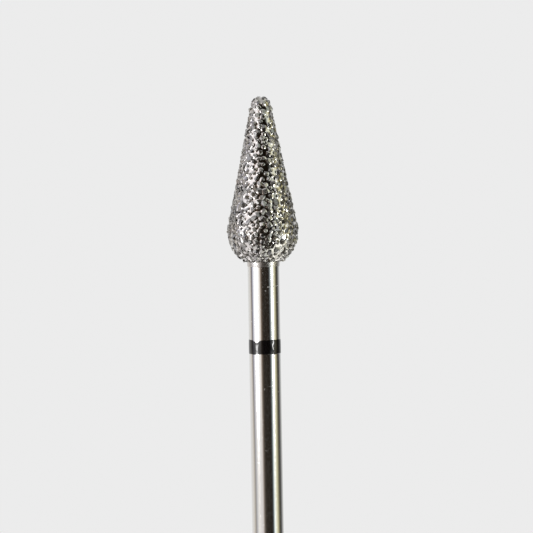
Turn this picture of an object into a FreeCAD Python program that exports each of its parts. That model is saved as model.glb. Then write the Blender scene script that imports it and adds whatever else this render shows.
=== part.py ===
"""A coarse diamond bur for a straight handpiece: ground steel blank, nickel bond, diamond grit and colour ring.

Millimetres, +Z up towards the tip. The origin is the centre of the shank's end face.
"""

import FreeCAD, Part
import math
import os
import random

import Sketcher

doc = FreeCAD.newDocument("DiamondBur")

# Driving dimensions, one cell each, with what they measure beside them
SIZES = [
    ("shank_diameter", "2.35", "ground shank, the standard straight handpiece size"),
    ("blank_length", "44.31", "steel blank from the end of the shank to its tip"),
    ("end_chamfer", "0.35", "turned chamfer round the end of the shank"),
    ("head_length", "11.82", "steel head form from its tip to its underside"),
    ("head_diameter", "4.86", "steel head form at its widest, where it is part of a ball"),
    ("underside_step", "0.26", "flat underside of the steel head from the shank out to the ball"),
    ("rim_radius", "=shank_diameter / 2 + underside_step", "where the underside meets the ball"),
    ("ball_depth", "=sqrt(head_diameter^2 / 4 - rim_radius^2)", "from the widest section to the underside"),
    ("widest_drop", "=head_length - ball_depth", "from the tip of the steel down to its widest section"),
    ("tip_radius", "0.6", "rounding of the steel tip"),
    ("bond_thickness", "0.09", "plated nickel on the head form"),
    ("runout_thickness", "0.04", "nickel on the shank just under the head"),
    ("runout_edge", "0.02", "the same nickel where its end starts to thin away"),
    ("runout_length", "0.36", "from the head down to where its end starts"),
    ("runout_end", "0.1", "length over which it then thins away to the steel"),
    ("ring_drop", "5.9", "from the head's steel underside down to the colour ring"),
    ("ring_width", "1.11", "lacquer band along the shank"),
    ("ring_thickness", "0.018", "lacquer on the steel"),
    ("ring_edge", "0.09", "length over which the lacquer runs out onto the steel"),
    ("grain_width", "0.29", "largest grain across its corners"),
    ("grain_height", "0.11", "how far a middling grain stands out of the nickel"),
    ("grain_gap", "0.004", "least gap between two neighbouring grains"),
]

sheet = doc.addObject("Spreadsheet::Sheet", "Sizes")
for row, (alias, value, meaning) in enumerate(SIZES, start=1):
    sheet.set(f"A{row}", alias)
    sheet.set(f"B{row}", value)
    sheet.set(f"C{row}", meaning)
    sheet.setAlias(f"B{row}", alias)
doc.recompute()

# Which point of a sketched line or arc a constraint takes, and the sketch's own axes and origin
START, END, CENTRE = range(1, 4)
ACROSS_AXIS, UPRIGHT_AXIS = range(-1, -3, -1)
ORIGIN = (ACROSS_AXIS, START)


def size(expression):
    """What an expression of the sheet's cells comes to."""
    return float(sheet.evalExpression(expression))


def head_outline(layer, wall_radius):
    """Half the head's outline with a layer on it: underside, arc of the belly, straight flank, arc of the tip.

    It starts on the wall under the head. Both arcs have their centre on the axis and the flank touches both, so
    its slope follows from them, and a layer on the steel adds to their radii alone.
    """
    belly_radius = size("Sizes.head_diameter / 2")
    tip_radius = size("Sizes.tip_radius")
    widest_height = size("Sizes.blank_length - Sizes.widest_drop")
    tip_centre = size("Sizes.blank_length") - tip_radius
    underside_height = size("Sizes.blank_length - Sizes.head_length") - layer
    flank_normal = math.asin((belly_radius - tip_radius) / (tip_centre - widest_height))
    rim_normal = math.asin((underside_height - widest_height) / (belly_radius + layer))

    def arc(centre_height, radius, first, last):
        centre = FreeCAD.Vector(0, centre_height, 0)
        circle = Part.Circle(centre, FreeCAD.Vector(0, 0, 1), radius + layer)
        return Part.ArcOfCircle(circle, first, last)

    belly = arc(widest_height, belly_radius, rim_normal, flank_normal)
    tip = arc(tip_centre, tip_radius, flank_normal, math.pi / 2)
    underside = Part.LineSegment(FreeCAD.Vector(wall_radius, underside_height, 0), belly.StartPoint)
    return [underside, belly, Part.LineSegment(belly.EndPoint, tip.StartPoint), tip]


def new_body(name):
    """An empty body and a sketch on its upright XZ plane."""
    body = doc.addObject("PartDesign::Body", name)
    body.Label = name
    sketch = body.newObject("Sketcher::SketchObject", name + "_profile")
    upright = [plane for plane in body.Origin.OriginFeatures if plane.Role == "XZ_Plane"][0]
    sketch.AttachmentSupport = (upright, [""])
    sketch.MapMode = "FlatFace"
    return body, sketch


def constrain(sketch, kind, *where):
    sketch.addConstraint(Sketcher.Constraint(kind, *where))


def bind(sketch, kind, where, expression):
    """Adds one dimension, which starts at what is drawn, and ties it to the sheet."""
    if kind == "Radius":
        drawn = sketch.Geometry[where[0]].Radius
    else:
        span = sketch.getPoint(where[2], where[3]) - sketch.getPoint(where[0], where[1])
        drawn = span.x if kind == "DistanceX" else span.y
    index = sketch.addConstraint(Sketcher.Constraint(kind, *where, drawn))
    sketch.setExpression(f"Constraints[{index}]", expression)


def revolve(body, sketch):
    """Turns the profile once round the upright axis."""
    turned = body.newObject("PartDesign::Revolution", body.Name + "_turned")
    turned.Profile = (sketch, [""])
    turned.ReferenceAxis = (sketch, ["V_Axis"])
    turned.Angle = 360


def head_form(name, layer, end_radius, foot_radius, wall_radius, bevel_height, wall_length=None):
    """A turned head, the wall under it and the bevel at the wall's lower end.

    All sizes are expressions. layer is what lies on the steel head form. The radii are those of the lower end,
    of the wall's foot above the bevel and of the wall under the head. Without a wall_length the form reaches
    down to the origin.
    """
    body, sketch = new_body(name)
    outline = head_outline(size(layer), size(wall_radius))
    wall_top = outline[0].StartPoint
    tip_top = outline[3].EndPoint
    bevel_top = wall_top.y - size(wall_length) if wall_length else size(bevel_height)
    wall_foot = FreeCAD.Vector(size(foot_radius), bevel_top, 0)
    rim = FreeCAD.Vector(size(end_radius), bevel_top - size(bevel_height), 0)
    middle = FreeCAD.Vector(0, rim.y, 0)
    lower = [
        Part.LineSegment(middle, rim),
        Part.LineSegment(rim, wall_foot),
        Part.LineSegment(wall_foot, wall_top),
    ]
    sketch.addGeometry(lower + outline + [Part.LineSegment(tip_top, middle)])
    foot, bevel, wall, underside, belly, flank, tip, axis = range(8)

    corners = ((foot, bevel), (bevel, wall), (wall, underside), (underside, belly), (tip, axis), (axis, foot))
    for before, after in corners:
        constrain(sketch, "Coincident", before, END, after, START)
    for before, after in ((belly, flank), (flank, tip)):
        constrain(sketch, "Tangent", before, END, after, START)
    constrain(sketch, "Horizontal", foot)
    constrain(sketch, "Horizontal", underside)
    constrain(sketch, "Vertical", axis)
    constrain(sketch, "PointOnObject", axis, START, UPRIGHT_AXIS)
    constrain(sketch, "PointOnObject", tip, CENTRE, UPRIGHT_AXIS)
    constrain(sketch, "PointOnObject", belly, CENTRE, UPRIGHT_AXIS)

    bind(sketch, "Radius", (belly,), f"Sizes.head_diameter / 2 + {layer}")
    bind(sketch, "Radius", (tip,), f"Sizes.tip_radius + {layer}")
    bind(sketch, "DistanceY", (belly, CENTRE, tip, END), f"Sizes.widest_drop + {layer}")
    bind(sketch, "DistanceY", (underside, END, tip, END), f"Sizes.head_length + 2 * {layer}")
    bind(sketch, "DistanceY", (*ORIGIN, tip, END), f"Sizes.blank_length + {layer}")
    bind(sketch, "DistanceX", (*ORIGIN, wall, END), wall_radius)
    bind(sketch, "DistanceX", (*ORIGIN, bevel, START), end_radius)
    bind(sketch, "DistanceY", (bevel, START, bevel, END), bevel_height)
    if foot_radius == wall_radius:
        constrain(sketch, "Vertical", wall)
    else:
        bind(sketch, "DistanceX", (*ORIGIN, wall, START), foot_radius)
    if wall_length:
        bind(sketch, "DistanceY", (wall, START, wall, END), wall_length)
    else:
        bind(sketch, "DistanceY", (axis, END, axis, START), f"Sizes.blank_length + {layer}")
    revolve(body, sketch)
    return body


def make_steel_blank():
    """Shank and head form, turned and ground as one piece."""
    shank = "Sizes.shank_diameter / 2"
    return head_form("steel_blank", "0", shank + " - Sizes.end_chamfer", shank, shank, "Sizes.end_chamfer")


def make_nickel_bond(steel_blank):
    """The plated shell on the head form, which runs a little way down the shank and thins away there."""
    shank = "Sizes.shank_diameter / 2"
    outside = head_form(
        "bond_outside",
        "Sizes.bond_thickness",
        shank,
        shank + " + Sizes.runout_edge",
        shank + " + Sizes.runout_thickness",
        "Sizes.runout_end",
        "Sizes.runout_length",
    )
    bond = doc.addObject("Part::Cut", "nickel_bond")
    bond.Label = "nickel_bond"
    bond.Base = outside
    bond.Tool = steel_blank
    return bond


def make_colour_ring():
    """The lacquer band, straight outside and thinning out onto the steel at both edges."""
    body, sketch = new_body("colour_ring")
    steel = size("Sizes.shank_diameter / 2")
    surface = size("Sizes.shank_diameter / 2 + Sizes.ring_thickness")
    ring_top = "Sizes.blank_length - Sizes.head_length - Sizes.ring_drop"
    top = size(ring_top)
    bottom = top - size("Sizes.ring_width")
    edge = size("Sizes.ring_edge")
    corners = [
        FreeCAD.Vector(steel, bottom, 0),
        FreeCAD.Vector(surface, bottom + edge, 0),
        FreeCAD.Vector(surface, top - edge, 0),
        FreeCAD.Vector(steel, top, 0),
    ]
    sketch.addGeometry([Part.LineSegment(corners[i - 1], corners[i]) for i in range(4)])
    inside, lower, outside, upper = range(4)

    for before, after in ((inside, lower), (lower, outside), (outside, upper), (upper, inside)):
        constrain(sketch, "Coincident", before, END, after, START)
    constrain(sketch, "Vertical", inside)
    constrain(sketch, "Vertical", outside)
    bind(sketch, "DistanceX", (*ORIGIN, inside, END), "Sizes.shank_diameter / 2")
    bind(sketch, "DistanceY", (*ORIGIN, inside, START), ring_top)
    bind(sketch, "DistanceY", (inside, END, inside, START), "Sizes.ring_width")
    bind(sketch, "DistanceX", (inside, END, outside, START), "Sizes.ring_thickness")
    bind(sketch, "DistanceY", (lower, START, lower, END), "Sizes.ring_edge")
    bind(sketch, "DistanceY", (upper, START, upper, END), "Sizes.ring_edge")
    revolve(body, sketch)
    return body


# The grit is sieved to a narrow span of widths, and its smaller grains fill in between the large ones
SIEVE_SHARES = (1.0, 0.9, 0.8)
TRIES_PER_SIEVE = 9000
POINT_SHARE = 0.55
RIDGE_SHARE = 0.38
GRIT_SEED = 7


def place_on(outline, along, turn):
    """A point at a distance along the outline, turned about the axis, and the outward normal there."""
    part = 0
    while along > outline[part].length():
        along -= outline[part].length()
        part += 1
    curve = outline[part]
    there = curve.parameterAtDistance(along, curve.FirstParameter)
    section = curve.value(there)
    forward = curve.tangent(there)[0]
    outwards = FreeCAD.Vector(math.cos(turn), math.sin(turn), 0)
    upwards = FreeCAD.Vector(0, 0, 1)
    return outwards * section.x + upwards * section.y, outwards * forward.y - upwards * forward.x


def find_seats():
    """Places for the grains all over the nickel on the head: point, outward normal and radius of each.

    Each try takes a random point of the surface, evenly by area, and keeps it where a grain of that width
    clears all the grains that are there already, and the nickel on the shank.
    """
    chance = random.Random(GRIT_SEED)
    wall_radius = size("Sizes.shank_diameter / 2 + Sizes.runout_thickness")
    outline = head_outline(size("Sizes.bond_thickness"), wall_radius)
    outline_length = sum(curve.length() for curve in outline)
    widest = size("Sizes.head_diameter / 2 + Sizes.bond_thickness")
    gap = size("Sizes.grain_gap")
    reach = size("Sizes.grain_width") + gap
    steps = (-1, 0, 1)
    seats = []
    cells = {}

    for share in SIEVE_SHARES:
        radius = size("Sizes.grain_width") * share / 2
        for _ in range(TRIES_PER_SIEVE):
            along = chance.uniform(radius + gap, outline_length)
            point, normal = place_on(outline, along, chance.uniform(0, 2 * math.pi))
            if math.hypot(point.x, point.y) < chance.uniform(0, widest):
                continue
            x, y, z = (math.floor(coordinate / reach) for coordinate in point)
            around = [cells.get((x + i, y + j, z + k), ()) for i in steps for j in steps for k in steps]
            near = [other for cell in around for other in cell]
            if any(point.distanceToPoint(other) < radius + other_radius + gap for other, other_radius in near):
                continue
            cells.setdefault((x, y, z), []).append((point, radius))
            seats.append((point, normal, radius))
    return seats


def make_crystal(radius, chance):
    """One broken crystal that stands along +Y on a base inside a circle and ends in a point, ridge or facet."""
    corner = math.radians(chance.uniform(36, 54))
    length = radius * math.cos(corner)
    width = radius * math.sin(corner)
    height = size("Sizes.grain_height") * chance.uniform(0.75, 1.25)
    left, right = -length * chance.uniform(0.2, 0.8), length * chance.uniform(0.2, 0.8)
    front, back = -width * chance.uniform(0.2, 0.8), width * chance.uniform(0.2, 0.8)
    kind = chance.random()
    if kind < POINT_SHARE:
        left = right
    if kind < POINT_SHARE + RIDGE_SHARE:
        front = back
    return Part.makeWedge(-length, 0, -width, front, left, length, height, width, back, right)


def make_diamond_grains():
    """The single layer of grit: separate crystals, each with its flat base on the nickel."""
    chance = random.Random(GRIT_SEED)
    crystals = []
    for point, normal, radius in find_seats():
        crystal = make_crystal(radius, chance)
        spin = FreeCAD.Rotation(normal, chance.uniform(0, 360))
        lean = FreeCAD.Rotation(FreeCAD.Vector(0, 1, 0), normal)
        crystal.Placement = FreeCAD.Placement(point, spin * lean)
        crystals.append(crystal)
    grains = doc.addObject("Part::Feature", "diamond_grains")
    grains.Label = "diamond_grains"
    grains.Shape = Part.makeCompound(crystals)
    return grains


steel_blank = make_steel_blank()
pieces = [steel_blank, make_nickel_bond(steel_blank), make_diamond_grains(), make_colour_ring()]
doc.recompute()

for thing in doc.Objects:
    if "Invalid" in thing.State or "Error" in thing.State:
        raise RuntimeError(f"{thing.Name} did not build: {thing.State}")
for piece in pieces:
    if piece.Shape.isNull() or not piece.Shape.isValid():
        raise RuntimeError(f"{piece.Label} has no sound shape")

os.makedirs("parts", exist_ok=True)
for piece in pieces:
    piece.Shape.exportStep(f"parts/{piece.Label}.step")
    print(piece.Label, len(piece.Shape.Solids), "solids", round(piece.Shape.Volume, 3), "mm3")
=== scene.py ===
import math

import bpy
import numpy as np
from mathutils import Matrix, Vector


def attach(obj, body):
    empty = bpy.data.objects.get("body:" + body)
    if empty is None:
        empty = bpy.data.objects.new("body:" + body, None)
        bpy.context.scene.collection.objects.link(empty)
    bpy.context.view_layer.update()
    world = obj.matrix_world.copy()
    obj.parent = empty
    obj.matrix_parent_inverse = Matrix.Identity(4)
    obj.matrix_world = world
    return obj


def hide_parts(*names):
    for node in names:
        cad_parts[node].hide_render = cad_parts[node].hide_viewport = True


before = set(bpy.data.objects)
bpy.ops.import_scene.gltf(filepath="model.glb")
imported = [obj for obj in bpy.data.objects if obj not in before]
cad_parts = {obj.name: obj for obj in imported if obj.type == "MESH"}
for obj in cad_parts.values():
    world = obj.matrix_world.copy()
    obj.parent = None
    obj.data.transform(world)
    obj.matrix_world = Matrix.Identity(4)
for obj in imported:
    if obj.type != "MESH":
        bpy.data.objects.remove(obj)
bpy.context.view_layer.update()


# The blank. One piece of hardened stainless steel, turned to the shank and the tapered head form and then
# ground. The shank is left bright, and the head form lies under the nickel and the grit.

# Sizes are in mm, and heights are from the end of the shank
MM = 0.001
SHANK_RADIUS = 1.175
END_CHAMFER = 0.35
END_ROW_RADIUS = 0.5
BLANK_LENGTH = 44.31
UNDERSIDE = 32.49
RIM_RADIUS = 1.435
BALL_RADIUS = 2.43
BALL_CENTRE = UNDERSIDE + math.sqrt(BALL_RADIUS**2 - RIM_RADIUS**2)
TIP_RADIUS = 0.6
TIP_CENTRE = BLANK_LENGTH - TIP_RADIUS
BLANK_SIDES = 192
SHANK_ROWS = 60
LAST_SHANK_ROW = UNDERSIDE - 0.02
BLANK_STEP = 0.12
SHARP_ANGLE = math.radians(28)


def head_section(layer, wall_radius, spacing):
    """Half section of the head with a layer on it, as radius and height at even steps from the wall up.

    A level underside from the wall to the ball, the ball of radius R at (R cos a, c + R sin a), a straight
    flank that touches the ball and the tip where both slope by the same angle, and the tip's own arc up to
    the axis.
    """
    underside = UNDERSIDE - layer
    ball_size = BALL_RADIUS + layer
    tip_size = TIP_RADIUS + layer
    flank = math.asin((BALL_RADIUS - TIP_RADIUS) / (TIP_CENTRE - BALL_CENTRE))
    rim = math.asin((underside - BALL_CENTRE) / ball_size)
    ball = np.linspace(rim, flank, 400)
    tip = np.linspace(flank, math.pi / 2, 200)
    ball_height = BALL_CENTRE + ball_size * np.sin(ball)
    tip_height = TIP_CENTRE + tip_size * np.sin(tip)
    radius = np.concatenate([[wall_radius], ball_size * np.cos(ball), tip_size * np.cos(tip)])
    height = np.concatenate([[underside], ball_height, tip_height])
    along = np.concatenate([[0], np.cumsum(np.hypot(np.diff(radius), np.diff(height)))])
    steps = np.linspace(0, along[-1], int(along[-1] / spacing) + 2)
    return np.interp(steps, along, radius), np.interp(steps, along, height)


def turned(name, radius, height, sides, closed=False):
    """A mesh of the surface (r cos a, r sin a, z). A row has one r and z in mm, or one for every angle a.

    Without closed, the first and last rows are poles on the axis. With closed, the last row joins the first.
    """
    angle = np.linspace(0, 2 * math.pi, sides, endpoint=False)
    rows = len(radius)
    radius = np.broadcast_to(np.reshape(radius, (rows, -1)), (rows, sides))
    height = np.broadcast_to(np.reshape(height, (rows, -1)), (rows, sides))
    points = np.stack([radius * np.cos(angle), radius * np.sin(angle), height], axis=-1) * MM
    index = np.arange(rows * sides).reshape(rows, sides)
    if closed:
        index = np.vstack([index, index[:1]])
    else:
        points = np.vstack([points[:1, 0], points[1:-1].reshape(-1, 3), points[-1:, 0]])
        index = np.maximum(index - sides + 1, 0)
        index[0] = 0
        index[-1] = len(points) - 1
    following = np.roll(index, -1, axis=1)
    quads = np.stack([index[:-1], following[:-1], following[1:], index[1:]], axis=-1).reshape(-1, 4)
    faces = [list(dict.fromkeys(quad)) for quad in quads.tolist()]
    mesh = bpy.data.meshes.new(name)
    mesh.from_pydata(points.reshape(-1, 3).tolist(), [], faces)
    mesh.shade_smooth()
    mesh.set_sharp_from_angle(angle=SHARP_ANGLE)
    piece = bpy.data.objects.new(name, mesh)
    bpy.context.scene.collection.objects.link(piece)
    return piece


def new_material(name, **values):
    """A material with a Principled shader whose own sockets have these values, its tree and that shader."""
    material = bpy.data.materials.new(name)
    material.use_nodes = True
    shader = material.node_tree.nodes["Principled BSDF"]
    for socket, value in values.items():
        shader.inputs[socket.replace("_", " ")].default_value = value
    return material, material.node_tree, shader


def new_node(tree, kind, **values):
    """A node of one kind with some of its properties and unlinked inputs set."""
    node = tree.nodes.new(kind)
    for name, value in values.items():
        if hasattr(node, name):
            setattr(node, name, value)
        else:
            node.inputs[name.replace("_", " ")].default_value = value
    return node


def maths(tree, operation, *inputs, clamp=False):
    """The result of a Math node whose inputs are links or numbers."""
    node = new_node(tree, "ShaderNodeMath", operation=operation, use_clamp=clamp)
    for socket, value in zip(node.inputs, inputs):
        if isinstance(value, (int, float)):
            socket.default_value = value
        else:
            tree.links.new(value, socket)
    return node.outputs[0]


def ramp(tree, value, start, end, first=0.0, last=1.0, kind="LINEAR"):
    """A number that is first up to start, last from end on, and a blend of the two in between."""
    node = new_node(tree, "ShaderNodeMapRange", clamp=True, interpolation_type=kind)
    for name, number in (("From Min", start), ("From Max", end), ("To Min", first), ("To Max", last)):
        node.inputs[name].default_value = number
    tree.links.new(value, node.inputs["Value"])
    return node.outputs[0]


def noise(tree, vector, **values):
    """The strength of a noise that is read along a vector."""
    node = new_node(tree, "ShaderNodeTexNoise", **values)
    tree.links.new(vector, node.inputs["Vector"])
    return node.outputs["Fac"]


def make_handling_marks():
    """Node group for what grinding and handling leave on a surface, all of it on Object coordinates.

    Roughness: a value with soft smears, raised at small specks and at short scratches that run round the
    axis. Lines: a height from noise that is stretched round the axis. Film: the fine mottle of a dull film.
    """
    group = bpy.data.node_groups.new("handling marks", "ShaderNodeTree")
    for name in ("Roughness", "Smear", "Damage"):
        group.interface.new_socket(name, in_out="INPUT", socket_type="NodeSocketFloat")
    for name in ("Roughness", "Lines", "Film"):
        group.interface.new_socket(name, in_out="OUTPUT", socket_type="NodeSocketFloat")
    given = group.nodes.new("NodeGroupInput").outputs
    result = group.nodes.new("NodeGroupOutput").inputs
    place = group.nodes.new("ShaderNodeTexCoord").outputs["Object"]

    # With the place squeezed to a fiftieth across the axis, a noise becomes lines that run round it
    squeeze = new_node(group, "ShaderNodeVectorMath", operation="MULTIPLY")
    squeeze.inputs[1].default_value = (0.02, 0.02, 1.0)
    group.links.new(place, squeeze.inputs[0])
    squeezed = squeeze.outputs[0]
    group.links.new(noise(group, squeezed, Scale=9000.0, Detail=3.0, Roughness=0.7), result["Lines"])
    group.links.new(noise(group, place, Scale=5200.0, Detail=3.0, Roughness=0.7), result["Film"])

    smears = maths(group, "SUBTRACT", noise(group, place, Scale=900.0, Detail=4.0, Roughness=0.6), 0.5)
    rough = maths(group, "MULTIPLY_ADD", smears, given["Smear"], given["Roughness"])
    specks = ramp(group, noise(group, place, Scale=6500.0, Detail=0.0), 0.815, 0.85)
    rings = ramp(group, noise(group, squeezed, Scale=5200.0, Detail=1.0), 0.70, 0.76)
    stretches = ramp(group, noise(group, place, Scale=1100.0, Detail=0.0), 0.60, 0.66)
    marks = maths(group, "MAXIMUM", specks, maths(group, "MULTIPLY", rings, stretches))
    rough = maths(group, "MULTIPLY_ADD", marks, given["Damage"], rough, clamp=True)
    group.links.new(rough, result["Roughness"])
    return group


handling_marks = make_handling_marks()
core_radius, core_height = head_section(0.0, SHANK_RADIUS, BLANK_STEP)
end_radius = [0, END_ROW_RADIUS, SHANK_RADIUS - END_CHAMFER]
shank_height = np.linspace(END_CHAMFER, LAST_SHANK_ROW, SHANK_ROWS)
blank = turned(
    "ground_blank",
    np.concatenate([end_radius, np.full(SHANK_ROWS, SHANK_RADIUS), core_radius[:-1], [0]]),
    np.concatenate([[0, 0, 0], shank_height, core_height[:-1], [BLANK_LENGTH]]),
    BLANK_SIDES,
)

steel, tree, shader = new_material("ground stainless steel", Base_Color=(0.76, 0.755, 0.745, 1))
place = tree.nodes.new("ShaderNodeTexCoord").outputs["Object"]
marks = new_node(
    tree, "ShaderNodeGroup", node_tree=handling_marks, Roughness=0.085, Smear=0.05, Damage=0.35,
)
tree.links.new(marks.outputs["Roughness"], shader.inputs["Roughness"])
bump = new_node(tree, "ShaderNodeBump", Strength=0.35, Distance=0.0000012)
tree.links.new(marks.outputs["Lines"], bump.inputs["Height"])
tree.links.new(bump.outputs[0], shader.inputs["Normal"])

# Two flaws of the shank near the head: a short scratch that climbs a little as it goes round, and a pit by
# it. The mask of each is 1 at its middle, where the metal scatters most light instead of mirroring it.
SCRATCH_HEIGHT = 30.5
SCRATCH_HALF_WIDTH = 0.045
SCRATCH_TURN = math.radians(36)
SCRATCH_REACH = math.radians(25)
SCRATCH_FADE = 0.02
SCRATCH_CLIMB = 0.06
PIT = (0.12, -1.169, 30.2)
PIT_RADIUS = 0.05
FLAW_DULLNESS = 0.9


def measured(operation, vector):
    """A measure in metres of the place on the blank against a fixed vector."""
    node = new_node(tree, "ShaderNodeVectorMath", operation=operation)
    node.inputs[1].default_value = vector
    tree.links.new(place, node.inputs[0])
    return node.outputs["Value"]


outward = (math.sin(SCRATCH_TURN), -math.cos(SCRATCH_TURN), 0.0)
upward = (-SCRATCH_CLIMB * math.cos(SCRATCH_TURN), -SCRATCH_CLIMB * math.sin(SCRATCH_TURN), 1.0)
scratch_end = SHANK_RADIUS * math.cos(SCRATCH_REACH)
off_line = maths(tree, "SUBTRACT", measured("DOT_PRODUCT", upward), SCRATCH_HEIGHT * MM)
line = ramp(tree, maths(tree, "ABSOLUTE", off_line), SCRATCH_HALF_WIDTH * MM, 0.0)
within = ramp(
    tree, measured("DOT_PRODUCT", outward), scratch_end * MM, (scratch_end + SCRATCH_FADE) * MM,
)
pit = ramp(tree, measured("DISTANCE", [MM * value for value in PIT]), PIT_RADIUS * MM, 0.0)
flaws = maths(tree, "MAXIMUM", maths(tree, "MULTIPLY", within, line), pit)
film = ramp(tree, marks.outputs["Film"], 0.4, 0.75, first=1.0, last=0.93)
metal = maths(tree, "MULTIPLY_ADD", flaws, -FLAW_DULLNESS, film, clamp=True)
tree.links.new(metal, shader.inputs["Metallic"])
blank.data.materials.append(steel)
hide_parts("steel_blank")
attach(blank, "root")


# The grit. Nearly nine hundred diamond crystals, sieved to one size, in a single layer all over the head
# form. Each is a broken octahedron, held because the nickel has grown up round its lower half.

NICKEL = 0.09
COLLAR_RADIUS = SHANK_RADIUS + 0.04
SECTION_STEP = 0.02
GRAIN_COUNT = 870
GRAIN_RADIUS = 0.16
SIZE_SPREAD = 0.25
LEAST_SIZE_POWER = -0.55
MOST_SIZE_POWER = 0.42
GRAIN_GAP = 0.155
SEAT_FROM_WALL = 0.13
SEAT_FROM_TIP = 0.02
ROUNDS_OF_PUSHING = 26
PUSH_SHARE = 0.3
LEAST_FROM_AXIS = 0.1
CORNERS = 24
MOST_BROKEN_OFF = 0.34
USUAL_CORNER = 0.84
SHORT_WIDTH = (0.65, 1.1)
LONG_WIDTH = (1.05, 1.5)
SHARE_ACROSS = 0.93
SHARE_UPWARDS = 1.1
GRAIN_RISE = 0.108
LEAST_RISE_SHARE = 0.75
MORE_RISE_SHARE = 0.75
FEW_RISE_MORE = 2.5
GRAIN_LIFT = 0.014
MORE_ARE_DARK = 1.2
rng = np.random.default_rng(11)

# The rows of the section are evenly spaced, so one distance between neighbours does for all of them
section_radius, section_height = head_section(NICKEL, COLLAR_RADIUS, SECTION_STEP)
row_distance = np.hypot(np.diff(section_radius)[5], np.diff(section_height)[5])
section_along = np.arange(len(section_radius)) * row_distance
section_slope = np.gradient(section_radius, section_along), np.gradient(section_height, section_along)


def on_head(along, turn):
    """Points of the nickel's surface in mm by distance and azimuth, their normals and their two tangents.

    The section's slope (r', z') gives the upward tangent and (z', -r') the normal. The sideways tangent at
    azimuth a is (-sin a, cos a).
    """
    radius = np.interp(along, section_along, section_radius)
    height = np.interp(along, section_along, section_height)
    slope_r = np.interp(along, section_along, section_slope[0])
    slope_z = np.interp(along, section_along, section_slope[1])
    size = np.hypot(slope_r, slope_z)
    cos, sin, zero = np.cos(turn), np.sin(turn), np.zeros_like(turn)
    points = np.stack([radius * cos, radius * sin, height], axis=-1)
    normals = np.stack([slope_z * cos, slope_z * sin, -slope_r], axis=-1) / size[..., None]
    upward = np.stack([slope_r * cos, slope_r * sin, slope_z], axis=-1) / size[..., None]
    sideways = np.stack([-sin, cos, zero], axis=-1)
    return points, normals, upward, sideways


def spread_seats(radius):
    """Random seats, evenly by area, that then push their neighbours away along the surface for some rounds.

    Two grains want the distance d, which is both radii and the gap. At a smaller distance x each moves away
    by a share of d - x.
    """
    count = len(radius)
    area = np.cumsum(section_radius)
    along = np.interp(rng.uniform(0, 1, count), (area - area[0]) / (area[-1] - area[0]), section_along)
    turn = rng.uniform(0, 2 * math.pi, count)
    gap = GRAIN_GAP * rng.uniform(0, 1, (count, count))
    wanted = radius[:, None] + radius[None] + gap + gap.T
    for _ in range(ROUNDS_OF_PUSHING):
        points, normals, upward, sideways = on_head(along, turn)
        from_axis = np.maximum(np.hypot(points[:, 0], points[:, 1]), LEAST_FROM_AXIS)
        apart = points[:, None] - points[None]
        distance = np.linalg.norm(apart, axis=-1) + np.eye(count)
        push = np.clip(1 - distance / wanted, 0, 1) * wanted / distance
        move = np.einsum("ij,ijk->ik", push, apart) * PUSH_SHARE
        along = along + (move * upward).sum(axis=1)
        turn = turn + (move * sideways).sum(axis=1) / from_axis
        along = np.clip(along, section_along[0] + SEAT_FROM_WALL, section_along[-1] - SEAT_FROM_TIP)
    return along, turn


def crystal_table():
    """The points of an octahedron, the pairs of neighbours, and its faces once all six points are cut off.

    Corner (k, j) lies on the edge from point k to its neighbour j, a share t of the way along it. That makes
    24 corners, 6 four-sided and 8 six-sided faces, which a trial with t = 0.3 turns outwards.
    """
    tips = np.array([[1, 0, 0], [-1, 0, 0], [0, 1, 0], [0, -1, 0], [0, 0, 1], [0, 0, -1]], float)
    pairs = [(k, j) for k in range(6) for j in range(6) if j // 2 != k // 2]
    number = {pair: i for i, pair in enumerate(pairs)}
    faces = []
    for k in range(6):
        first, second = [j for j in range(6) if j // 2 != k // 2][0::2]
        faces.append([number[k, first], number[k, second], number[k, first + 1], number[k, second + 1]])
    for x in (0, 1):
        for y in (2, 3):
            for z in (4, 5):
                faces.append([number[pair] for pair in ((x, y), (y, x), (y, z), (z, y), (z, x), (x, z))])
    middles = [tips[[pairs[i][0] for i in face]].mean(axis=0) for face in faces]
    corners = np.array([tips[k] * 0.7 + tips[j] * 0.3 for k, j in pairs])
    for face, middle in zip(faces, middles):
        a, b, c = corners[face[:3]]
        if np.dot(np.cross(b - a, c - b), middle) < 0:
            face.reverse()
    return tips, np.array(pairs), faces


def random_turns(count):
    """Evenly random rotations, from unit quaternions with normally distributed parts."""
    w, x, y, z = rng.normal(size=(4, count))
    size = np.sqrt(w * w + x * x + y * y + z * z)
    w, x, y, z = w / size, x / size, y / size, z / size
    return np.stack([
        np.stack([1 - 2 * (y * y + z * z), 2 * (x * y - w * z), 2 * (x * z + w * y)], axis=-1),
        np.stack([2 * (x * y + w * z), 1 - 2 * (x * x + z * z), 2 * (y * z - w * x)], axis=-1),
        np.stack([2 * (x * z - w * y), 2 * (y * z + w * x), 1 - 2 * (x * x + y * y)], axis=-1),
    ], axis=1)


# A grain's radius is the usual one times e to a random power, within the limits of the sieves
size_power = np.clip(rng.normal(0, SIZE_SPREAD, GRAIN_COUNT), LEAST_SIZE_POWER, MOST_SIZE_POWER)
seat_radius = GRAIN_RADIUS * np.exp(size_power)
seat_along, seat_turn = spread_seats(seat_radius)
seats, seat_normals, seat_upward, seat_sideways = on_head(seat_along, seat_turn)

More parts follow.
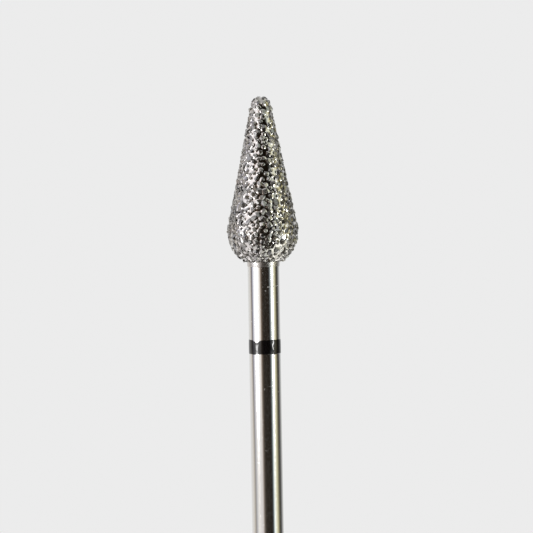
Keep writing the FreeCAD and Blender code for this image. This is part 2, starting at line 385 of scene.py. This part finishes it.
# Each point of each crystal is broken off by a share of its own, and the crystal is turned at random. It is
# then flattened to its two widths and its rise, spun about its seat's normal and set on the seat. The rise
# goes with the root of the size, and a few crystals stand out up to twice as far as most.
tips, pairs, crystal_faces = crystal_table()
broken_off = rng.uniform(0.0, MOST_BROKEN_OFF, (GRAIN_COUNT, 6))
share = broken_off[:, pairs[:, 0]][..., None]
corners = (tips[pairs[:, 0]] * (1 - share) + tips[pairs[:, 1]] * share) / USUAL_CORNER
corners = np.einsum("nij,nkj->nki", random_turns(GRAIN_COUNT), corners)
short_width = seat_radius * rng.uniform(*SHORT_WIDTH, GRAIN_COUNT)
long_width = seat_radius * rng.uniform(*LONG_WIDTH, GRAIN_COUNT)
rise_share = LEAST_RISE_SHARE + MORE_RISE_SHARE * rng.uniform(0, 1, GRAIN_COUNT) ** FEW_RISE_MORE
grain_rise = GRAIN_RISE * (seat_radius / GRAIN_RADIUS) ** 0.5 * rise_share
stretch = np.stack([short_width, long_width, grain_rise], axis=-1)
local = corners * stretch[:, None]
spin = rng.uniform(0, math.pi, (GRAIN_COUNT, 1))
local = np.stack([
    (local[..., 0] * np.cos(spin) - local[..., 1] * np.sin(spin)) * SHARE_ACROSS,
    (local[..., 0] * np.sin(spin) + local[..., 1] * np.cos(spin)) * SHARE_UPWARDS,
    local[..., 2] + GRAIN_LIFT,
], axis=-1)
grain_points = (
    seats[:, None]
    + local[..., :1] * seat_sideways[:, None]
    + local[..., 1:2] * seat_upward[:, None]
    + local[..., 2:] * seat_normals[:, None]
)
all_faces = [[i * CORNERS + corner for corner in face] for i in range(GRAIN_COUNT) for face in crystal_faces]
grit_mesh = bpy.data.meshes.new("diamond_grit")
grit_mesh.from_pydata((grain_points.reshape(-1, 3) * MM).tolist(), [], all_faces)
for name, domain, values in (
    ("stand", "POINT", local[..., 2].ravel()),
    ("tone", "POINT", np.repeat(rng.uniform(0, 1, GRAIN_COUNT) ** MORE_ARE_DARK, CORNERS)),
    ("facet", "FACE", rng.uniform(0, 1, len(all_faces))),
):
    grit_mesh.attributes.new(name, "FLOAT", domain).data.foreach_set("value", values)
grit = bpy.data.objects.new("diamond_grit", grit_mesh)
bpy.context.scene.collection.objects.link(grit)

# Each crystal has a tone of its own and each facet a polish of its own. Low down, where a crystal stands
# less than 0.05 mm out of the plain nickel, it shines like metal.
diamond, tree, shader = new_material("broken diamond", IOR=2.42, Specular_IOR_Level=1.0)
tone, facet, stand = [
    new_node(tree, "ShaderNodeAttribute", attribute_name=name).outputs["Fac"]
    for name in ("tone", "facet", "stand")
]
body = tree.nodes.new("ShaderNodeValToRGB")
body.color_ramp.elements[0].color = (0.018, 0.016, 0.016, 1)
body.color_ramp.elements[1].color = (0.21, 0.196, 0.158, 1)
tree.links.new(tone, body.inputs[0])
tree.links.new(body.outputs[0], shader.inputs["Base Color"])
tree.links.new(ramp(tree, stand, 0.02, 0.05, first=0.9, last=0.12), shader.inputs["Metallic"])
tree.links.new(ramp(tree, facet, 0.0, 1.0, first=0.08, last=0.36), shader.inputs["Roughness"])
grit.data.materials.append(diamond)
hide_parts("diamond_grains")
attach(grit, "root")


# The nickel bond. Nickel plated onto the steel round the grit: it creeps up each grain, stays lower between
# them, and runs out on the shank as a duller collar that thins away where the mask was.

NICKEL_SIDES = 280
NICKEL_ROWS = 300
INSIDE_STEP = 0.6
INSIDE_DEPTH = 0.3
CREEP = 0.055
CREEP_SOFTNESS = 0.026
NEAR_GRAINS = 0.42
RIM_SHARE = 0.85
RAGGEDNESS = 0.03
PLATING_WAVE = 0.005
SINES = 14
CORNER_LENGTH = 0.08
COLLAR_LENGTH = 0.46
DULL_HEIGHT = UNDERSIDE - 0.25
BRIGHT_HEIGHT = UNDERSIDE + 0.05
COLLAR_DULLNESS = 0.25


def uneven(points, shortest, longest, flatten=1.0):
    """A smooth random field of about unit size, the sum of SINES sines, each along its own random direction.

    The wavelengths are in mm, and flatten below 1 draws the field out along the axis.
    """
    directions = rng.normal(size=(SINES, 3))
    directions /= np.linalg.norm(directions, axis=1, keepdims=True)
    directions[:, 2] *= flatten
    lengths = rng.uniform(shortest, longest, SINES)
    phases = rng.uniform(0, 2 * math.pi, SINES)
    waves = np.sin(points @ directions.T * (2 * math.pi / lengths) + phases)
    return waves.sum(axis=-1) / math.sqrt(SINES / 2)


def creep_height(points, along):
    """How far the nickel stands above its plain level in mm: CREEP / (1 + exp(x / CREEP_SOFTNESS)).

    x is the distance from a point to the nearest grain's rim, taken row by row among the grains near that
    row, and made ragged by an uneven field.
    """
    rise = np.zeros(points.shape[:2])
    ragged = RAGGEDNESS * uneven(points, shortest=0.16, longest=0.4)
    for row, distance_along in enumerate(along):
        near = np.abs(seat_along - distance_along) < NEAR_GRAINS
        if near.any():
            to_seats = np.linalg.norm(points[row, :, None] - seats[near][None], axis=-1)
            to_rim = (to_seats - seat_radius[near] * RIM_SHARE).min(axis=1)
            power = np.clip((to_rim + ragged[row]) / CREEP_SOFTNESS, -30, 30)
            rise[row] = CREEP / (1 + np.exp(power))
    return rise


def wander(turn, *waves):
    """How an edge wanders as it goes round: the sum of size * sin(count * turn + phase) over its waves."""
    return sum(size * np.sin(count * turn + phase) for count, size, phase in waves)


rows = np.linspace(0, section_along[-1], NICKEL_ROWS)
nickel_turn = np.linspace(0, 2 * math.pi, NICKEL_SIDES, endpoint=False)
grid_along, grid_turn = np.meshgrid(rows, nickel_turn, indexing="ij")
shell_points, shell_normals, _, _ = on_head(grid_along, grid_turn)
creep = creep_height(shell_points, rows) * np.clip(rows / CORNER_LENGTH, 0, 1)[:, None]
creep = creep + PLATING_WAVE * uneven(shell_points, shortest=0.4, longest=1.1, flatten=0.6)
shell_points = shell_points + shell_normals * creep[..., None]
shell_radius = np.hypot(shell_points[..., 0], shell_points[..., 1])
shell_radius[-1] = 0
shell_height = shell_points[..., 2]
shell_height[-1] = shell_height[-1].mean()

# The collar's rows, from its lower edge up, by their share of its length and by how thick it is there
collar_share = np.array([0, 0, 0.1, 0.22, 0.45, 0.75])[:, None]
collar_wall = np.array([0.0, 0.011, 0.02, 0.024, 0.03, 0.036])[:, None]
collar_length = COLLAR_LENGTH + wander(nickel_turn, (3, 0.012, 0.6), (7, 0.008, 2.1), (13, 0.006, 0))
collar_height = UNDERSIDE - NICKEL - collar_length * (1 - collar_share)

# The inside lies on the steel, and its rows go down from the tip to the shank
inside_radius, inside_height = head_section(0.0, SHANK_RADIUS, INSIDE_STEP)
inside_radius = np.concatenate([[0], inside_radius[-2::-1], [SHANK_RADIUS]])[:, None]
inside_height = np.concatenate([[BLANK_LENGTH], inside_height[-2::-1], [UNDERSIDE - INSIDE_DEPTH]])[:, None]
all_round = np.zeros(NICKEL_SIDES)
bond = turned(
    "nickel_plating",
    np.vstack([inside_radius + all_round, SHANK_RADIUS + collar_wall + all_round, shell_radius]),
    np.vstack([inside_height + all_round, collar_height, shell_height]),
    NICKEL_SIDES,
)

nickel, tree, shader = new_material("plated nickel", Base_Color=(0.67, 0.648, 0.63, 1), Metallic=1.0)
place = tree.nodes.new("ShaderNodeTexCoord").outputs["Object"]
marks = new_node(
    tree, "ShaderNodeGroup", node_tree=handling_marks, Roughness=0.09, Smear=0.08, Damage=0.35,
)
bump = new_node(tree, "ShaderNodeBump", Strength=0.3, Distance=0.000005)
tree.links.new(noise(tree, place, Scale=32000.0, Detail=3.0), bump.inputs["Height"])
tree.links.new(bump.outputs[0], shader.inputs["Normal"])
split = tree.nodes.new("ShaderNodeSeparateXYZ")
tree.links.new(place, split.inputs[0])
duller = ramp(
    tree, split.outputs["Z"], DULL_HEIGHT * MM, BRIGHT_HEIGHT * MM, COLLAR_DULLNESS, 0.0, kind="SMOOTHSTEP",
)
tree.links.new(maths(tree, "ADD", marks.outputs["Roughness"], duller), shader.inputs["Roughness"])
bond.data.materials.append(nickel)
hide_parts("nickel_bond")
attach(bond, "root")


# The colour ring. Black lacquer run onto the spinning shank with a wheel, which names the grade of the grit.
# It is thickest low down and both edges wander. Its upper edge dips at one place, and the lacquer has run at
# another.

RING_SIDES = 256
RING_TOP = 26.59
RING_BOTTOM = 25.48
RING_EDGE = 0.025
RING_SINK = 0.002
EDGE_LACQUER = 0.0005
LACQUER = 0.016
FOOT_POWER = 0.05
POWER_GAIN = 0.5
DIP_TURN = math.radians(238)
DIP_HALF_WIDTH = math.radians(13)
DIP_DEPTH = 0.16
RUN_TURN = math.radians(300)
RUN_HALF_WIDTH = math.radians(15)
RUN_RIPPLE = 0.0036
FINE_RIPPLE = 0.0006
SWELL = 0.0005
ring_turn = np.linspace(0, 2 * math.pi, RING_SIDES, endpoint=False)
dip = np.exp(-(np.abs(ring_turn - DIP_TURN) / DIP_HALF_WIDTH) ** 3)
run = np.exp(-(((ring_turn - RUN_TURN) / RUN_HALF_WIDTH) ** 2))
ring_top = RING_TOP - RING_EDGE + wander(ring_turn, (5, 0.012, 0), (11, 0.009, 1.2)) - DIP_DEPTH * dip
ring_bottom = RING_BOTTOM + RING_EDGE + wander(ring_turn, (4, 0.012, 2), (9, 0.008, 0))

# At a share x of the way up, the lacquer's thickness is sin(pi x) to a power that grows with x, and grows
# faster at the dip. The rows lie closer at the edges. Two sets of ripples, 3 and 12 round the ring, slant as
# they go up.
across = np.concatenate([[0, 0.02, 0.05, 0.1], np.linspace(0.16, 0.84, 16), [0.9, 0.95, 0.98, 1]])[:, None]
slant = 9 * across
power = FOOT_POWER + POWER_GAIN * across + dip * across
fullness = np.clip(np.sin(math.pi * across), 0, 1) ** power
ripple = SWELL * np.sin(3 * ring_turn + slant)
ripple = ripple + (FINE_RIPPLE + RUN_RIPPLE * run) * np.sin(12 * ring_turn + slant + 4.2)
outer_radius = SHANK_RADIUS + EDGE_LACQUER + (LACQUER + ripple) * fullness
outer_height = ring_bottom + (ring_top - ring_bottom) * across
ring = turned(
    "lacquer_ring",
    np.vstack([np.full((3, RING_SIDES), SHANK_RADIUS - RING_SINK), outer_radius]),
    np.vstack([outer_height[[-1, len(across) // 2, 0]], outer_height]),
    RING_SIDES,
    closed=True,
)

lacquer, tree, shader = new_material(
    "black lacquer", Base_Color=(0.005, 0.0045, 0.005, 1), IOR=1.56, Specular_IOR_Level=0.6,
)
marks = new_node(
    tree, "ShaderNodeGroup", node_tree=handling_marks, Roughness=0.07, Smear=0.06, Damage=0.1,
)
tree.links.new(marks.outputs["Roughness"], shader.inputs["Roughness"])
ring.data.materials.append(lacquer)
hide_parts("colour_ring")
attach(ring, "root")


# The camera, a long lens 13 cm away that looks down by a few degrees. It is rolled by about one degree, so
# the bur leans a little to the left in its picture.

TILT = math.radians(3.0)
LEAN = math.radians(0.997)
FRAME_WIDTH = 39.4
AIM_HEIGHT = 31.93
AIM_RIGHT = 0.227
LENS = 120.0
SENSOR_WIDTH = 36.0
camera_data = bpy.data.cameras.new("camera")
camera_data.lens = LENS
camera_data.sensor_width = SENSOR_WIDTH
camera_data.clip_start = 0.001
camera_data.clip_end = 10.0
camera = bpy.data.objects.new("camera", camera_data)
bpy.context.scene.collection.objects.link(camera)
bpy.context.scene.camera = camera
forward = Vector((0, math.cos(TILT), -math.sin(TILT)))
level_right = Vector((1, 0, 0))
level_up = Vector((0, math.sin(TILT), math.cos(TILT)))
right = level_right * math.cos(LEAN) - level_up * math.sin(LEAN)
upright = level_right * math.sin(LEAN) + level_up * math.cos(LEAN)
aim = Vector((0, 0, AIM_HEIGHT)) + right * AIM_RIGHT
distance = FRAME_WIDTH * LENS / SENSOR_WIDTH
turned_to = Matrix((right, upright, -forward)).transposed()
camera.matrix_world = Matrix.Translation((aim - forward * distance) * MM) @ turned_to.to_4x4()


# The studio: a pale room with a tall soft light at each side, each brighter in its middle, and the dark end
# of the room behind the camera. Polished steel mirrors it all, so the room's bands are the shank's stripes.

world = bpy.data.worlds.new("studio")
bpy.context.scene.world = world
world.use_nodes = True
tree = world.node_tree

# A direction's azimuth is 0 on the camera's side and positive to its right, and its rise is the sine of its
# elevation
split = tree.nodes.new("ShaderNodeSeparateXYZ")
tree.links.new(tree.nodes.new("ShaderNodeTexCoord").outputs["Generated"], split.inputs[0])
east, north, rise = split.outputs
azimuth = maths(tree, "ARCTAN2", east, maths(tree, "MULTIPLY", north, -1.0))
share_round = maths(tree, "MULTIPLY_ADD", azimuth, 1 / (2 * math.pi), 0.5)


def mixed(share, first, second, blend="MIX"):
    """The first colour where share is 0. Where it is 1, the second one, or what the blend makes of both."""
    node = new_node(tree, "ShaderNodeMix", data_type="RGBA", blend_type=blend)
    for socket, value in ((node.inputs[0], share), (node.inputs[6], first), (node.inputs[7], second)):
        if isinstance(value, (tuple, float)):
            socket.default_value = value
        else:
            tree.links.new(value, socket)
    return node.outputs[2]


def colour_bands(stops):
    """A colour by azimuth, from stops of degrees, red, green and blue, with straight blends between them."""
    node = tree.nodes.new("ShaderNodeValToRGB")
    elements = node.color_ramp.elements
    while len(elements) < len(stops):
        elements.new(0.5)
    for element, (degrees, *colour) in zip(elements, stops):
        element.position = degrees / 360 + 0.5
        element.color = (*colour, 1)
    tree.links.new(share_round, node.inputs[0])
    return node.outputs[0]


def light_middle(degrees, half_width, foot, top, strength):
    """The brighter middle of a tall light, by azimuth and half width in degrees and the rise of its ends.

    It is full up to 0.6 of its half width and gone at 1.4 of it. Its foot fades in over 0.02 of rise, and
    its top fades out over 0.06.
    """
    off = maths(tree, "ABSOLUTE", maths(tree, "SUBTRACT", azimuth, math.radians(degrees)))
    start, end = math.radians(half_width * 0.6), math.radians(half_width * 1.4)
    middle = ramp(tree, off, start, end, 1.0, 0.0, kind="SMOOTHSTEP")
    middle = maths(tree, "MULTIPLY", middle, ramp(tree, rise, foot, foot + 0.02, kind="SMOOTHSTEP"))
    middle = maths(tree, "MULTIPLY", middle, ramp(tree, rise, top, top + 0.06, 1.0, 0.0, kind="SMOOTHSTEP"))
    return maths(tree, "MULTIPLY", middle, strength)


# Level and above, just below level, a tint for higher up, and the floor
upper_bands = colour_bands((
    (-180, 0.84, 0.84, 0.83), (-140, 0.86, 0.86, 0.85), (-116, 0.80, 0.76, 0.71), (-106, 0.42, 0.38, 0.34),
    (-99, 0.20, 0.18, 0.20), (-93, 0.30, 0.30, 0.36), (-84, 0.98, 0.98, 1.08), (-74, 1.30, 1.28, 1.28),
    (-38, 1.26, 1.24, 1.20), (-31, 0.98, 0.90, 0.84), (-24, 0.34, 0.27, 0.21), (-16, 0.075, 0.055, 0.04),
    (-6, 0.027, 0.021, 0.015), (34, 0.019, 0.014, 0.010), (42, 0.10, 0.11, 0.115), (49, 0.60, 0.66, 0.66),
    (56, 1.25, 1.31, 1.24), (72, 1.22, 1.20, 1.04), (83, 0.80, 0.76, 0.51), (93, 0.32, 0.29, 0.17),
    (102, 0.06, 0.055, 0.035), (116, 0.06, 0.06, 0.06), (132, 0.40, 0.40, 0.40), (152, 0.74, 0.75, 0.75),
    (180, 0.84, 0.84, 0.83),
))
lower_bands = colour_bands((
    (-180, 0.84, 0.84, 0.83), (-140, 0.88, 0.87, 0.86), (-116, 0.83, 0.79, 0.74), (-104, 0.62, 0.57, 0.50),
    (-94, 0.38, 0.36, 0.34), (-86, 0.50, 0.49, 0.50), (-74, 0.84, 0.83, 0.83), (-62, 1.04, 1.00, 0.95),
    (-44, 0.90, 0.86, 0.86), (-32, 0.80, 0.75, 0.72), (-24, 0.32, 0.27, 0.24), (-16, 0.09, 0.075, 0.06),
    (-6, 0.032, 0.025, 0.019), (34, 0.021, 0.017, 0.013), (42, 0.08, 0.09, 0.09), (49, 0.52, 0.60, 0.63),
    (56, 1.25, 1.31, 1.24), (72, 0.98, 0.94, 0.69), (83, 0.58, 0.55, 0.35), (93, 0.22, 0.20, 0.13),
    (102, 0.07, 0.065, 0.05), (116, 0.085, 0.085, 0.08), (132, 0.40, 0.40, 0.40), (152, 0.70, 0.70, 0.69),
    (180, 0.84, 0.84, 0.83),
))
higher_tints = colour_bands((
    (-180, 1, 1, 1), (-140, 0.82, 0.81, 0.82), (-118, 0.82, 0.81, 0.82), (-99, 1.3, 1.3, 1.3),
    (-84, 0.9, 0.9, 0.9), (-38, 1.18, 1.16, 1.22), (-14, 0.4, 0.34, 0.27), (32, 0.4, 0.36, 0.28),
    (60, 0.73, 0.75, 0.70), (100, 1.35, 1.36, 1.22), (150, 1, 1, 1), (180, 1, 1, 1),
))
floor_bands = colour_bands((
    (-180, 0.70, 0.69, 0.68), (-160, 1.0, 0.99, 0.98), (-142, 1.6, 1.57, 1.58), (-124, 0.10, 0.09, 0.09),
    (-98, 0.12, 0.11, 0.11), (-84, 1.1, 1.07, 1.08), (-60, 1.0, 0.97, 0.98), (-42, 0.10, 0.09, 0.09),
    (-20, 0.04, 0.035, 0.03), (28, 0.03, 0.025, 0.02), (42, 0.15, 0.15, 0.14), (54, 1.4, 1.42, 1.30),
    (82, 1.8, 1.82, 1.68), (96, 0.85, 0.84, 0.76), (120, 0.75, 0.74, 0.66), (142, 2.2, 2.17, 2.06),
    (160, 1.0, 0.99, 0.96), (180, 0.70, 0.69, 0.68),
))
CEILING = (0.55, 0.55, 0.54, 1)
BACKDROP = (0.838, 0.838, 0.838, 1)

# Each change comes between two values of rise: to level and above, to the tint, the ceiling and the floor
room = mixed(ramp(tree, rise, -0.175, -0.075, kind="SMOOTHSTEP"), lower_bands, upper_bands)
room = mixed(ramp(tree, rise, 0.08, 0.28, kind="SMOOTHSTEP"), room, higher_tints, blend="MULTIPLY")
room = mixed(ramp(tree, rise, 0.62, 0.92, kind="SMOOTHSTEP"), room, CEILING)
room = mixed(ramp(tree, rise, -0.7, -0.24, 1.0, 0.0, kind="SMOOTHSTEP"), room, floor_bands)
left_middle = light_middle(-59, 8.2, foot=-0.134, top=-0.045, strength=11.0)
right_middle = light_middle(63, 2.6, foot=-0.14, top=0.0, strength=17.0)
room = mixed(1.0, room, maths(tree, "ADD", left_middle, right_middle), blend="ADD")

# The camera itself sees a plain pale backdrop in the room's place
seen = tree.nodes.new("ShaderNodeLightPath").outputs["Is Camera Ray"]
tree.links.new(mixed(seen, room, BACKDROP), tree.nodes["Background"].inputs["Color"])


# The table, a round of matt pale card that the bur stands on by the end of its shank. It fades away before
# its rim, it is there from above only, and polished metal mirrors the room in its place.

TABLE_SIDES = 96
TABLE_RADIUS = 55
TABLE_DROP = 0.02
FADE_START = 28
FADE_END = 54
TABLE_LIFT = 0.33
table_turn = np.linspace(0, 2 * math.pi, TABLE_SIDES, endpoint=False)
table_level = np.full(TABLE_SIDES, -TABLE_DROP)
table_rim = [TABLE_RADIUS * np.cos(table_turn), TABLE_RADIUS * np.sin(table_turn), table_level]
table_mesh = bpy.data.meshes.new("table")
table_mesh.from_pydata((np.stack(table_rim, axis=-1) * MM).tolist(), [], [list(range(TABLE_SIDES))])
table = bpy.data.objects.new("table", table_mesh)
bpy.context.scene.collection.objects.link(table)

card, tree, shader = new_material(
    "pale card", Base_Color=(0.84, 0.84, 0.84, 1), Roughness=0.9, Specular_IOR_Level=0.1,
    Emission_Color=(1, 1, 1, 1),
)
from_middle = new_node(tree, "ShaderNodeVectorMath", operation="LENGTH")
tree.links.new(tree.nodes.new("ShaderNodeTexCoord").outputs["Object"], from_middle.inputs[0])
paths = tree.nodes.new("ShaderNodeLightPath").outputs
underneath = tree.nodes.new("ShaderNodeNewGeometry").outputs["Backfacing"]
shown = ramp(
    tree, from_middle.outputs["Value"], FADE_START * MM, FADE_END * MM, 1.0, 0.0, kind="SMOOTHSTEP",
)
shown = maths(tree, "SUBTRACT", shown, paths["Is Glossy Ray"], clamp=True)
shown = maths(tree, "SUBTRACT", shown, underneath, clamp=True)
tree.links.new(shown, shader.inputs["Alpha"])
lift = maths(tree, "MULTIPLY", paths["Is Camera Ray"], TABLE_LIFT)
tree.links.new(lift, shader.inputs["Emission Strength"])
table.data.materials.append(card)

bpy.context.scene.view_settings.view_transform = "Standard"
